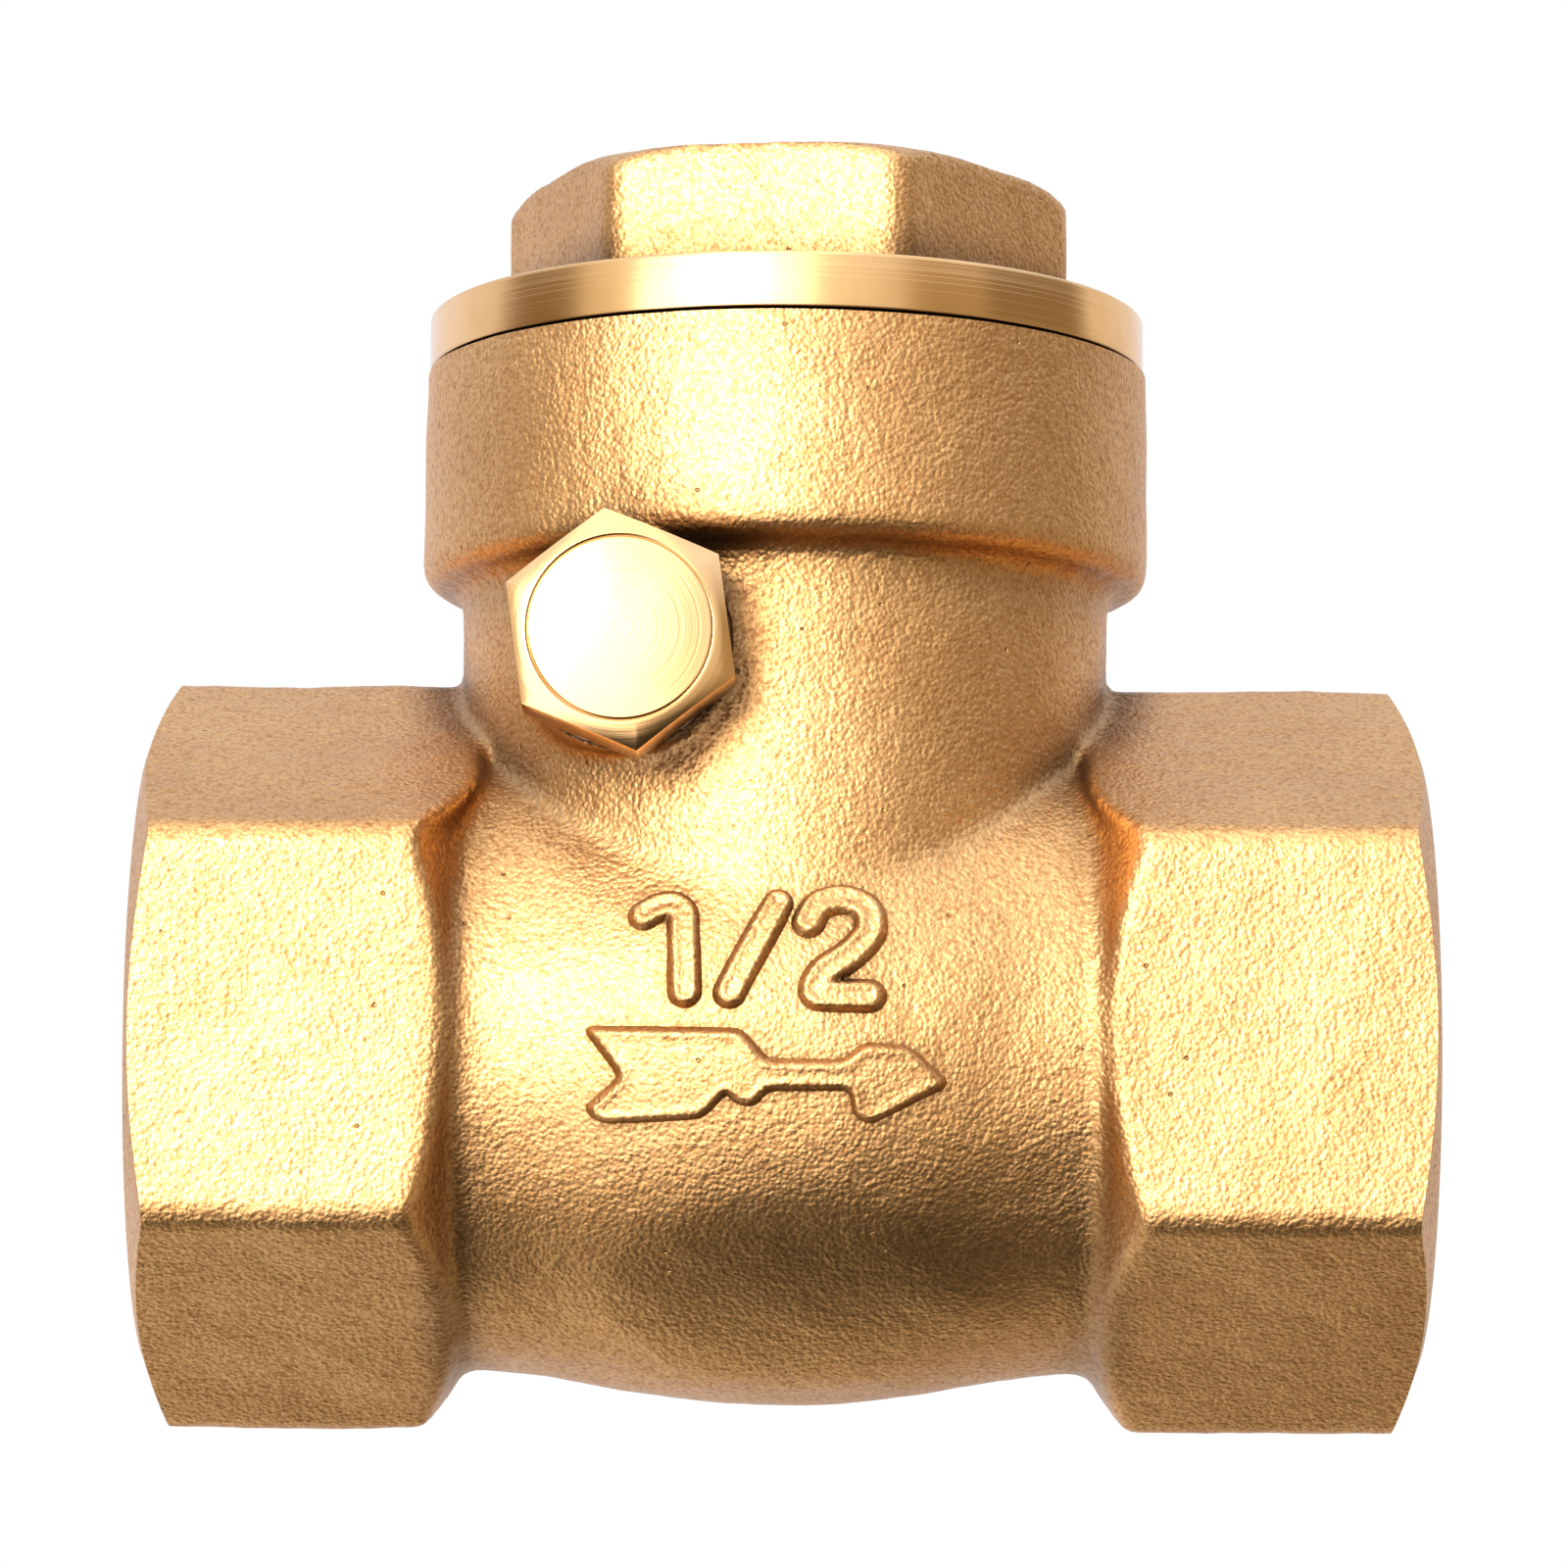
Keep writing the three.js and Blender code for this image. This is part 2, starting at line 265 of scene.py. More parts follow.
def ease_edges(target, width, angle=25, segments=2):
    """Breaks the sharp edges of a machined piece."""
    modifier = target.modifiers.new("ease", "BEVEL")
    modifier.width = width * MM
    modifier.segments = segments
    modifier.limit_method = "ANGLE"
    modifier.angle_limit = math.radians(angle)
    modifier.harden_normals = False
    apply_modifiers(target)


def finish_piece(piece, body, materials, replaced=None, sharp=40, machined=None):
    """Gives a piece its materials and smooth shading, and puts it on its body.

    The machined faces, if any are chosen, take the second material."""
    piece.data.materials.clear()
    for material in materials:
        piece.data.materials.append(material)
    if machined is None:
        drop_slivers(piece)
    else:
        piece.data.polygons.foreach_set("material_index", machined.astype(np.int32))
    piece.data.shade_smooth()
    piece.data.set_sharp_from_angle(angle=math.radians(sharp))
    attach(piece, body)
    if replaced:
        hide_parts(replaced)
    return piece


def face_middles(piece):
    """The middles of a piece's faces in millimetres, as columns of x, y and z."""
    middles = np.zeros(len(piece.data.polygons) * 3)
    piece.data.polygons.foreach_get("center", middles)
    return (middles.reshape(-1, 3) / MM).T


# ---- Distance fields --------------------------------------------------------------------------


def blend_max(a, b, width):
    share = np.clip(0.5 + 0.5 * (a - b) / width, 0, 1)
    return b + (a - b) * share + width * share * (1 - share)


def blend_min(a, b, width):
    return -blend_max(-a, -b, width)


def eased(share):
    share = np.clip(share, 0, 1)
    return share * share * (3 - 2 * share)


def rounded_corner(a, b, radius):
    """Where two half spaces meet at an outside corner of the given radius."""
    a, b = a + radius, b + radius
    return np.minimum(np.maximum(a, b), 0) + np.hypot(np.maximum(a, 0), np.maximum(b, 0)) - radius


def hexagon_field(u, v, across_flats, turn, edge):
    """Distance to a hexagonal prism, over the plane across it. At turn 0 it has corners along u."""
    field = None
    for k in range(3):
        angle = turn + math.radians(30 + 60 * k)
        side = np.abs(u * math.cos(angle) + v * math.sin(angle)) - across_flats / 2
        field = side if field is None else blend_max(field, side, edge)
    return field


def cast_skin(shape, spacing, size, depth):
    """Smooth seeded unevenness for a cast surface, with bumps of about the given size."""
    noise = np.fft.rfftn(rng.standard_normal(shape))
    rates = [np.fft.fftfreq(n, spacing) for n in shape[:2]] + [np.fft.rfftfreq(shape[2], spacing)]
    squared = rates[0][:, None, None] ** 2 + rates[1][None, :, None] ** 2 + rates[2][None, None, :] ** 2
    band = np.exp(-squared * size**2 * 2) * (1 - np.exp(-squared * size**2 * 6))
    waves = np.fft.irfftn(noise * band, shape, axes=(0, 1, 2))
    return depth * waves / waves.std()


def sample_space(low, high, spacing):
    """The three coordinates of every point of a regular box of samples."""
    axes = [np.arange(a, b + spacing, spacing) for a, b in zip(low, high)]
    return np.meshgrid(*axes, indexing="ij", sparse=True)


# ---- Materials --------------------------------------------------------------------------------

WHITE = (1.0, 1.0, 1.0)


class Graph:
    """Short calls for building a tree of shader nodes."""

    def __init__(self, tree):
        self.tree = tree

    def feed(self, socket, value):
        """Links a node's output to a socket, or sets the socket to a number or a colour."""
        if isinstance(value, bpy.types.NodeSocket):
            self.tree.links.new(value, socket)
        else:
            socket.default_value = value

    def add(self, kind, inputs=None, **settings):
        node = self.tree.nodes.new(kind)
        for key, value in settings.items():
            setattr(node, key, value)
        for key, value in (inputs or {}).items():
            self.feed(node.inputs[key], value)
        return node

    def vector_maths(self, operation, a, b=(0, 0, 0), result="Vector"):
        return self.add("ShaderNodeVectorMath", {0: a, 1: b}, operation=operation).outputs[result]

    def maths(self, operation, a, b=0.0):
        return self.add("ShaderNodeMath", {0: a, 1: b}, operation=operation).outputs[0]

    def mix(self, share, a, b, blend="MIX"):
        """Mixes two colours, each an output or three numbers."""
        node = self.add("ShaderNodeMix", {"Factor": share}, data_type="RGBA", blend_type=blend)
        for socket, value in ((node.inputs[6], a), (node.inputs[7], b)):
            self.feed(socket, value if isinstance(value, bpy.types.NodeSocket) else (*value, 1))
        return node.outputs[2]

    def ramp(self, value, stops, interpolation="LINEAR"):
        """A colour for each value, from (value, colour) stops."""
        node = self.add("ShaderNodeValToRGB", {"Fac": value})
        ramp = node.color_ramp
        ramp.interpolation = interpolation
        while len(ramp.elements) < len(stops):
            ramp.elements.new(0.5)
        for element, (position, colour) in zip(ramp.elements, stops):
            element.position = position
            element.color = (*colour, 1)
        return node.outputs["Color"]


class Nodes(Graph):
    """A material with one Principled shader, looked up by the place on the piece."""

    def __init__(self, name):
        self.material = bpy.data.materials.new(name)
        self.material.use_nodes = True
        super().__init__(self.material.node_tree)
        self.shader = self.tree.nodes["Principled BSDF"]
        self.place = self.tree.nodes.new("ShaderNodeTexCoord").outputs["Object"]

    def shifted(self, step):
        """The place moved aside, in metres, so that noises made there do not line up with others."""
        return self.vector_maths("ADD", self.place, (step, step, step))

    def noise(self, size, detail=2.0, place=None, roughness=0.5):
        """Noise with features of about the given size in millimetres."""
        inputs = {
            "Vector": place or self.place,
            "Scale": 0.5 / (size * MM),
            "Detail": detail,
            "Roughness": roughness,
        }
        return self.add("ShaderNodeTexNoise", inputs).outputs["Fac"]

    def cells(self, size):
        """The distance from the nearest of scattered points, which lie about the size apart."""
        inputs = {"Vector": self.place, "Scale": 1 / (size * MM)}
        return self.add("ShaderNodeTexVoronoi", inputs).outputs["Distance"]

    def recess(self, reach):
        """1 in the open, falling towards 0 in corners closer than the reach in millimetres."""
        node = self.add("ShaderNodeAmbientOcclusion", {"Distance": reach * MM}, samples=6)
        return node.outputs["AO"]

    def spot(self, middle, reach):
        """A soft patch, 1 at its middle and 0 a little past its reach in each direction, in millimetres."""
        moved = self.vector_maths("SUBTRACT", self.place, [c * MM for c in middle])
        scaled = self.vector_maths("DIVIDE", moved, [r * MM for r in reach])
        away = self.vector_maths("LENGTH", scaled, result="Value")
        return self.span(away, 1.0, 0.0, 0.25, 1.1)

    def valley_ring_shade(self):
        """A soft ring of painted shade in each valley between the belly and a hexagon end, up to the neck's
        fill.
        """
        x, y, z = self.add("ShaderNodeSeparateXYZ", {0: self.place}).outputs
        radius = self.hypotenuse(y, z)
        to_end = self.maths("ABSOLUTE", self.maths("ADD", x, HEX_OUTLET_SHIFT / 2 * MM))
        across = self.maths("SUBTRACT", to_end, (HEX_INNER_FACE - HEX_OUTLET_SHIFT / 2 + 0.3) * MM)
        above = self.maths("SUBTRACT", radius, BELLY_END_RADIUS * MM)
        ring = self.span(self.hypotenuse(across, above), 1.0, 0.0, 0.5 * MM, 1.7 * MM)
        return self.maths("MULTIPLY", ring, self.span(z, 1.0, 0.0, 8.0 * MM, 10.5 * MM))

    def hypotenuse(self, a, b):
        squares = [self.maths("MULTIPLY", side, side) for side in (a, b)]
        return self.maths("SQRT", self.maths("ADD", *squares))

    def span(self, value, low, high, start=0.3, stop=0.7):
        """Maps a value between start and stop to one between low and high."""
        inputs = {"Value": value, "From Min": start, "From Max": stop, "To Min": low, "To Max": high}
        return self.add("ShaderNodeMapRange", inputs).outputs["Result"]

    def tones(self, value, low, high):
        """A colour that eases from one (value, colour) pair to another."""
        return self.ramp(value, [low, high], interpolation="EASE")

    def bump(self, height, depth):
        inputs = {"Height": height, "Distance": depth * MM, "Strength": 1.0}
        return self.add("ShaderNodeBump", inputs).outputs["Normal"]

    def surface(self, colour, roughness, normal=None, metallic=1.0):
        """Finishes the shader and gives its material."""
        self.feed(self.shader.inputs["Base Color"], colour)
        self.feed(self.shader.inputs["Roughness"], roughness)
        if normal is not None:
            self.feed(self.shader.inputs["Normal"], normal)
        self.shader.inputs["Metallic"].default_value = metallic
        return self.material


def cast_brass():
    """Sand cast brass, shot blasted: a fine even grain, a faint mottling and a few pits, with painted shade
    in its corners and valleys and a painted dark reflection low on the belly's front.
    """
    n = Nodes("cast_brass")
    grain = n.noise(0.12, detail=2.5, roughness=0.6)
    coarse = n.noise(0.26, detail=1.0)
    mottle = n.noise(3.5, detail=3.0)
    colour = n.tones(mottle, (0.3, (0.72, 0.405, 0.155)), (0.7, (0.80, 0.47, 0.19)))
    specks = n.tones(grain, (0.36, (0.50, 0.30, 0.16)), (0.5, WHITE))
    colour = n.mix(0.4, colour, specks, blend="MULTIPLY")
    fine = n.noise(0.085, detail=1.0, place=n.shifted(0.02))
    dust = n.tones(fine, (0.4, (0.62, 0.52, 0.42)), (0.54, WHITE))
    colour = n.mix(0.42, colour, dust, blend="MULTIPLY")
    pit = n.span(n.cells(1.7), 1.0, 0.0, 0.035, 0.06)
    # Painted shade: the corners, the creases and the valleys beside the hexagon ends are darkened where
    # shade would fall.
    wide_corner_shade = n.span(n.recess(3.0), 0.9, 0.0, 0.6, 0.96)
    valley = n.maths("MULTIPLY", n.valley_ring_shade(), 0.42)
    tight_corner_shade = n.span(n.recess(0.8), 1.0, 0.0, 0.6, 0.95)
    corner = n.maths("MAXIMUM", n.maths("MAXIMUM", wide_corner_shade, tight_corner_shade), valley)
    # Painted dark reflection: a darker patch low on the belly's front.
    painted_dark_reflection = n.spot((2.5, -10.5, -9.0), (9.5, 4.2, 3.2))
    colour = n.mix(n.maths("MULTIPLY", painted_dark_reflection, 0.7), colour, (0.30, 0.165, 0.06))
    colour = n.mix(n.maths("MULTIPLY", pit, 0.75), colour, (0.16, 0.07, 0.02))
    colour = n.mix(n.maths("MULTIPLY", corner, 0.96), colour, (0.065, 0.034, 0.016))
    relief = n.maths("ADD", n.maths("MULTIPLY", grain, 0.45), n.maths("MULTIPLY", coarse, 0.25))
    relief = n.maths("SUBTRACT", relief, n.maths("MULTIPLY", n.cells(0.2), 0.35))
    relief = n.maths("SUBTRACT", relief, n.maths("MULTIPLY", pit, 0.5))
    roughness = n.span(grain, 0.48, 0.36)
    return n.surface(colour, roughness, n.bump(relief, 0.085))


def turned_metal(name, colour, darker, axis, centre=(0, 0, 0), marks=0.02):
    """Metal turned on a lathe, with fine tool marks that run round its axis and painted shade in its
    corners.
    """
    n = Nodes(name)
    lengthwise = "xyz".index(axis)
    across = [0.0 if k == lengthwise else 1.0 for k in range(3)]
    moved = n.vector_maths("SUBTRACT", n.place, [c * MM for c in centre])
    flat = n.vector_maths("MULTIPLY", moved, across)
    radius = n.vector_maths("LENGTH", flat, result="Value")
    along_axis = n.add("ShaderNodeSeparateXYZ", {0: moved}).outputs[lengthwise]
    groove_place = n.add("ShaderNodeCombineXYZ", {0: radius, 1: along_axis}).outputs[0]
    grooves = n.noise(0.09, detail=2.0, place=groove_place)
    smudge = n.noise(2.2, detail=3.0)
    tint = n.tones(smudge, (0.3, darker), (0.65, colour))
    # Painted shade: the corners and recesses are darkened where shade would fall.
    tint = n.mix(n.span(n.recess(2.2), 0.92, 0.0, 0.4, 0.88), tint, (0.07, 0.035, 0.015))
    return n.surface(tint, n.span(smudge, 0.24, 0.13), n.bump(grooves, marks))


def forged_brass():
    n = Nodes("forged_brass")
    scale = n.noise(0.5, detail=3.0)
    mottle = n.noise(2.5, detail=2.0)
    colour = n.tones(mottle, (0.3, (0.66, 0.42, 0.19)), (0.7, (0.82, 0.56, 0.27)))
    return n.surface(colour, n.span(scale, 0.42, 0.28), n.bump(scale, 0.05))


def seal_rubber():
    n = Nodes("seal_rubber")
    grain = n.noise(0.15, detail=3.0)
    colour = n.tones(n.noise(1.5), (0.3, (0.012, 0.012, 0.013)), (0.7, (0.028, 0.028, 0.030)))
    return n.surface(colour, n.span(grain, 0.75, 0.55), n.bump(grain, 0.03), metallic=0.0)


def gasket_fibre():
    n = Nodes("gasket_fibre")
    strands = n.noise(0.3, detail=4.0, roughness=0.7)
    colour = n.tones(strands, (0.35, (0.62, 0.58, 0.48)), (0.65, (0.86, 0.83, 0.74)))
    return n.surface(colour, n.span(strands, 0.85, 0.65), n.bump(strands, 0.06), metallic=0.0)


BRASS_LIGHT = (0.96, 0.60, 0.27)
BRASS_DARK = (0.88, 0.52, 0.21)
STEEL_LIGHT = (0.66, 0.66, 0.66)
STEEL_DARK = (0.50, 0.50, 0.51)
PIN_PLACE = (PIN_X, 0, PIN_Z)

CAST_BRASS = cast_brass()
FORGED_BRASS = forged_brass()
SEAL_RUBBER = seal_rubber()
GASKET_FIBRE = gasket_fibre()
TURNED_ON_FLOW = turned_metal("turned_brass_flow", BRASS_LIGHT, BRASS_DARK, "x")
TURNED_ON_BONNET = turned_metal("turned_brass_bonnet", BRASS_LIGHT, BRASS_DARK, "z")
TURNED_ON_PIN = turned_metal("turned_brass_pin", BRASS_LIGHT, BRASS_DARK, "y", PIN_PLACE, marks=0.01)
STEEL_ON_FLOW = turned_metal("steel_flow", STEEL_LIGHT, STEEL_DARK, "x")
STEEL_ON_PIN = turned_metal("steel_pin", STEEL_LIGHT, STEEL_DARK, "y", PIN_PLACE)


# ---- Valve body -------------------------------------------------------------------------------


def belly_radius(x):
    return blend_max(BELLY_END_RADIUS, BELLY_RADIUS - x * x / BELLY_BULGE, 0.7) - 0.1


def cone_field(along_axis, radius, from_point, to_point):
    """Signed distance to the cone through two (distance, radius) points, positive on its left side."""
    run = np.array(to_point, float) - np.array(from_point, float)
    run /= np.linalg.norm(run)
    return -(along_axis - from_point[0]) * run[1] + (radius - from_point[1]) * run[0]


def casting_field(x, y, z, spacing):
    """The raw casting: everything that the mould and its core form, before machining."""
    flow_radius = np.sqrt(y * y + z * z)
    bonnet_radius = np.sqrt(x * x + y * y)
    reach = np.abs(x)
    barrel = np.maximum(flow_radius - belly_radius(x), reach - PORT_BOTTOM)
    out_of_spot = -(y * math.cos(FLAT_SPOT_TILT) + z * math.sin(FLAT_SPOT_TILT))
    round_spot = y * math.sin(FLAT_SPOT_TILT) - z * math.cos(FLAT_SPOT_TILT)
    spot = out_of_spot + round_spot**2 / (2 * FLAT_SPOT_RADIUS) - (BELLY_RADIUS - FLAT_SPOT_DEPTH)
    barrel = blend_max(barrel, spot, 0.25)
    flats = hexagon_field(z, y, END_ACROSS_FLATS, 0, 0.7)
    to_end = np.maximum(x + HEX_OUTLET_SHIFT, -x)
    chamfer_start = (HEX_INNER_FACE, END_FACE_RADIUS)
    chamfer_stop = (HEX_INNER_FACE + HEX_INNER_CHAMFER, END_CORNER + 0.2)
    inner = np.maximum(cone_field(to_end, flow_radius, chamfer_start, chamfer_stop), HEX_INNER_FACE - to_end)
    into_neck = NECK_RADIUS - 1.2 - reach
    beside_neck = eased((z - 7.0) / 3.5)
    inner = inner * (1 - beside_neck) + into_neck * beside_neck
    ends = blend_max(flats, inner, 0.35)
    neck = np.maximum(bonnet_radius - NECK_RADIUS, -z)
    collar = rounded_corner(bonnet_radius - COLLAR_RADIUS, COLLAR_UNDERSIDE - z, COLLAR_ROUNDING)
    pin_radius = np.hypot(x - PIN_X, z - PIN_Z)
    boss = np.maximum(pin_radius - BOSS_RADIUS, y + NECK_BORE / 2)
    field = blend_min(barrel, neck, 0.45)
    field = blend_min(field, ends, 0.5)
    field = blend_min(field, collar, 1.1)
    field = blend_min(field, boss, 0.5)
    field = field + cast_skin(field.shape, spacing, 0.9, 0.008)
    field = field + cast_skin(field.shape, spacing, 3.5, 0.02)
    chamber = blend_max(flow_radius - (belly_radius(x) - WALL), SEAT_WALL - x, 0.6)
    over_chamber = np.maximum(np.maximum(bonnet_radius - NECK_BORE, -z), SEAT_WALL - x)
    over_seat = np.maximum(bonnet_radius - NECK_BORE, SEAT_RIM + 2 - z)
    hollow = blend_min(chamber, np.minimum(over_chamber, over_seat), 0.5)
    field = blend_max(field, -hollow, 0.3)
    rear_boss = np.maximum(REAR_BOSS_FACE - y, bonnet_radius - NECK_RADIUS + 0.6)
    rear_boss = np.maximum(rear_boss, pin_radius - REAR_BOSS_RADIUS)
    field = blend_min(field, rear_boss, 0.4)
    return np.maximum(field, reach - END_FACE - 0.5)


def turned_envelope():
    """What the lathe leaves of the two ends and their outer chamfers."""
    wide = END_CORNER + 20
    points, faces = loft(
        [
            (END_FACE_RADIUS, -END_FACE),
            (END_CORNER, -END_FACE + END_CHAMFER),
            (wide, -END_FACE + END_CHAMFER + 3),
            (wide, END_FACE - END_CHAMFER - 3),
            (END_CORNER, END_FACE - END_CHAMFER),
            (END_FACE_RADIUS, END_FACE),
        ]
    )
    return along("x", points), faces


def port_cutter(side):
    """The tapped hole of one end, from its bottom out past the face."""
    rows = [(PORT_MINOR, PORT_BOTTOM - 1.5)]
    rows += thread_rows(
        PORT_MINOR, PORT_MAJOR, PORT_PITCH, PORT_BOTTOM, END_FACE - 1.2, direction=side, fade=0.6
    )
    rows += [(PORT_MINOR, END_FACE - 1.15), (PORT_MOUTH, END_FACE), (PORT_MOUTH, END_FACE + 2)]
    points, faces = loft(rows)
    points = along("x", points)
    if side < 0:
        points = points * np.array([-1, 1, 1])
        faces = [face[::-1] for face in faces]
    return points, faces


def collar_cutter():
    """The facing of the collar, its gasket recess and the cap's thread."""
    minor, major = CAP_THREAD_MINOR + THREAD_GAP, CAP_THREAD_MAJOR + THREAD_GAP
    rows = [(major, NECK_SHOULDER)]
    rows += thread_rows(minor, major, CAP_PITCH, NECK_SHOULDER + 0.3, RECESS_FLOOR)
    rows += [
        (RECESS_RADIUS, RECESS_FLOOR),
        (RECESS_RADIUS, COLLAR_TOP),
        (COLLAR_RADIUS + 2, COLLAR_TOP),
        (COLLAR_RADIUS + 2, COLLAR_TOP + 3),
    ]
    return loft(rows)


def about_pin(points):
    return along("y", points) + np.array(PIN_PLACE)


def plug_hole_cutter():
    """The spot face and tapped hole for the plug, cut from the front."""
    minor, major = PLUG_THREAD_MINOR + THREAD_GAP, PLUG_THREAD_MAJOR + THREAD_GAP
    rows = [(SPOT_FACE_RADIUS, PLUG_LOW[1]), (SPOT_FACE_RADIUS, SPOT_FACE)]
    rows += thread_rows(minor, major, PLUG_PITCH, SPOT_FACE, PLUG_HOLE_BOTTOM, SMALL_SIDES)
    points, faces = loft(rows, SMALL_SIDES)
    return about_pin(points), faces


def pin_bore(low, high, sides=SMALL_SIDES):
    """The bore that the hinge pin runs in, between two places along it."""
    radius = PIN_RADIUS + PIN_CLEARANCE
    points, faces = loft([(radius, low), (radius, high)], sides)
    return about_pin(points), faces


def make_body():
    """The casting with its machined ports, seat, collar and holes."""
    spacing = 0.27
    wide = END_CORNER + 1.2
    low = np.array([-END_FACE - 1.5, -wide, -wide])
    high = np.array([END_FACE + 1.5, wide, COLLAR_TOP + 2.4])
    field = casting_field(*sample_space(low, high, spacing), spacing)
    # The top few samples are made empty, so that the mesh closes above the collar.
    field[:, :, -3:] = np.maximum(field[:, :, -3:], spacing)
    casting = bare_object("body_casting", *field_mesh(field, low, spacing))
    bore, root = SEAT_ORIFICE - 0.3, SEAT_WALL - 0.6
    seat_section = [(bore, root), (SEAT_RIM, root), (SEAT_RIM, SEAT_FACE), (bore, SEAT_FACE)]
    seat_ring = turned(seat_section, "x", ring=True)
    orifice = loft([(SEAT_ORIFICE, -PORT_BOTTOM - 2), (SEAT_ORIFICE, SEAT_FACE + 1)])
    combine(casting, seat_ring, "UNION")
    combine(casting, turned_envelope(), "INTERSECT")
    combine(casting, port_cutter(-1), "DIFFERENCE")
    combine(casting, port_cutter(1), "DIFFERENCE")
    combine(casting, (along("x", orifice[0]), orifice[1]), "DIFFERENCE")
    combine(casting, collar_cutter(), "DIFFERENCE")
    combine(casting, plug_hole_cutter(), "DIFFERENCE")
    combine(casting, pin_bore(0, PIN_HIGH[1] + 0.02), "DIFFERENCE")
    drop_slivers(casting)
    x, y, z = face_middles(casting)
    flow_radius, bonnet_radius = np.hypot(y, z), np.hypot(x, y)
    port = (np.abs(x) > PORT_BOTTOM - 0.5) & (flow_radius < PORT_MOUTH + 0.05)
    end_face = np.abs(x) > END_FACE - 0.01
    seat = (flow_radius < SEAT_RIM + 0.05) & (x < SEAT_FACE + 0.01)
    collar_bore = (z > NECK_SHOULDER - 0.01) & (bonnet_radius < RECESS_RADIUS + 0.02)
    collar_face = z > COLLAR_TOP - 0.01
    machined = port | end_face | seat | collar_bore | collar_face
    materials = [CAST_BRASS, TURNED_ON_FLOW]
    return finish_piece(casting, "valve_body", materials, "body", machined=machined)


# ---- Raised marks on the belly ----------------------------------------------------------------

# Places on the belly are (x, distance up round the belly from its front line).
STROKE = 0.58
ONE = [(-5.25, 4.4), (-4.75, 4.72), (-4.2, 4.8), (-3.8, 4.45), (-3.7, 1.25)]
SLASH = [(-0.2, 4.75), (-2.0, 1.2)]
TWO = [
    (0.95, 4.0), (1.3, 4.75), (2.3, 5.05), (3.2, 4.7), (3.4, 3.7), (2.65, 2.75), (1.45, 1.95),
    (1.1, 1.1), (3.25, 1.1),
]  # fmt: skip
ARROW = [
    (-7.5, -0.15), (-1.6, -0.25), (-1.1, -0.8), (-0.6, -1.4), (2.35, -1.4), (3.0, -0.75), (4.8, -0.85),
    (6.3, -2.3), (3.3, -3.85), (2.65, -3.4), (2.6, -2.5), (-0.55, -2.5), (-1.1, -3.15), (-1.75, -3.0),
    (-2.1, -2.6), (-3.0, -3.6), (-6.85, -3.95), (-7.5, -3.4), (-6.1, -2.1),
]  # fmt: skip


def segment_distance(u, v, a, b):
    run = np.array(b) - np.array(a)
    share = np.clip(((u - a[0]) * run[0] + (v - a[1]) * run[1]) / (run @ run), 0, 1)
    return np.hypot(u - a[0] - share * run[0], v - a[1] - share * run[1])


def stroke_distance(u, v, line):
    """Distance outside a round-ended stroke along a line."""
    nearest = np.min([segment_distance(u, v, a, b) for a, b in zip(line, line[1:])], axis=0)
    return nearest - STROKE


def outline_distance(u, v, outline):
    """Distance outside a closed outline, negative inside it."""
    inside = np.zeros(u.shape, bool)
    edge = None
    for a, b in zip(outline, outline[1:] + outline[:1]):
        away = segment_distance(u, v, a, b)
        edge = away if edge is None else np.minimum(edge, away)
        crosses = (a[1] > v) != (b[1] > v)
        level = 0 if a[1] == b[1] else (b[0] - a[0]) / (b[1] - a[1])
        inside ^= crosses & (u < a[0] + (v - a[1]) * level)
    return np.where(inside, -edge, edge)


def make_marks():
    """The size mark and the flow arrow, a thin slab under the skin that rises where they stand."""
    step, height, slope, dish, sunk, depth = 0.085, 0.36, 0.48, 0.06, 0.13, 0.9
    low, high = (-8.4, -4.9), (7.1, 6.2)
    u, v = np.meshgrid(np.arange(low[0], high[0], step), np.arange(low[1], high[1], step), indexing="ij")
    distances = [stroke_distance(u, v, rounded(line, 0.9)) for line in (ONE, SLASH, TWO)]
    distances.append(outline_distance(u, v, rounded(ARROW, 0.4, ring=True)))
    away = np.min(distances, axis=0)
    rise = eased(0.5 - away / slope) * (height + sunk) - sunk - eased((-away - 0.2) / 0.4) * dish
    angle = v / BELLY_RADIUS
    columns, rows = u.shape
    layers = []
    for radius in (belly_radius(u) + rise, belly_radius(u) - depth):
        layers.append(np.stack([u, -radius * np.cos(angle), radius * np.sin(angle)], -1).reshape(-1, 3))
    index = np.arange(columns * rows).reshape(columns, rows)
    top = np.stack([index[:-1, :-1], index[1:, :-1], index[1:, 1:], index[:-1, 1:]], -1).reshape(-1, 4)
    rim = np.concatenate([index[:, 0], index[-1, 1:], index[-2::-1, -1], index[0, -2:0:-1]])
    below = columns * rows
    around = np.stack([rim, rim + below, np.roll(rim, -1) + below, np.roll(rim, -1)], -1)
    faces = np.vstack([top, top[:, ::-1] + below, around]).tolist()
    marks = bare_object("raised_marks", np.vstack(layers), faces)
    return finish_piece(marks, "valve_body", [CAST_BRASS], sharp=60)


# ---- Bonnet -----------------------------------------------------------------------------------


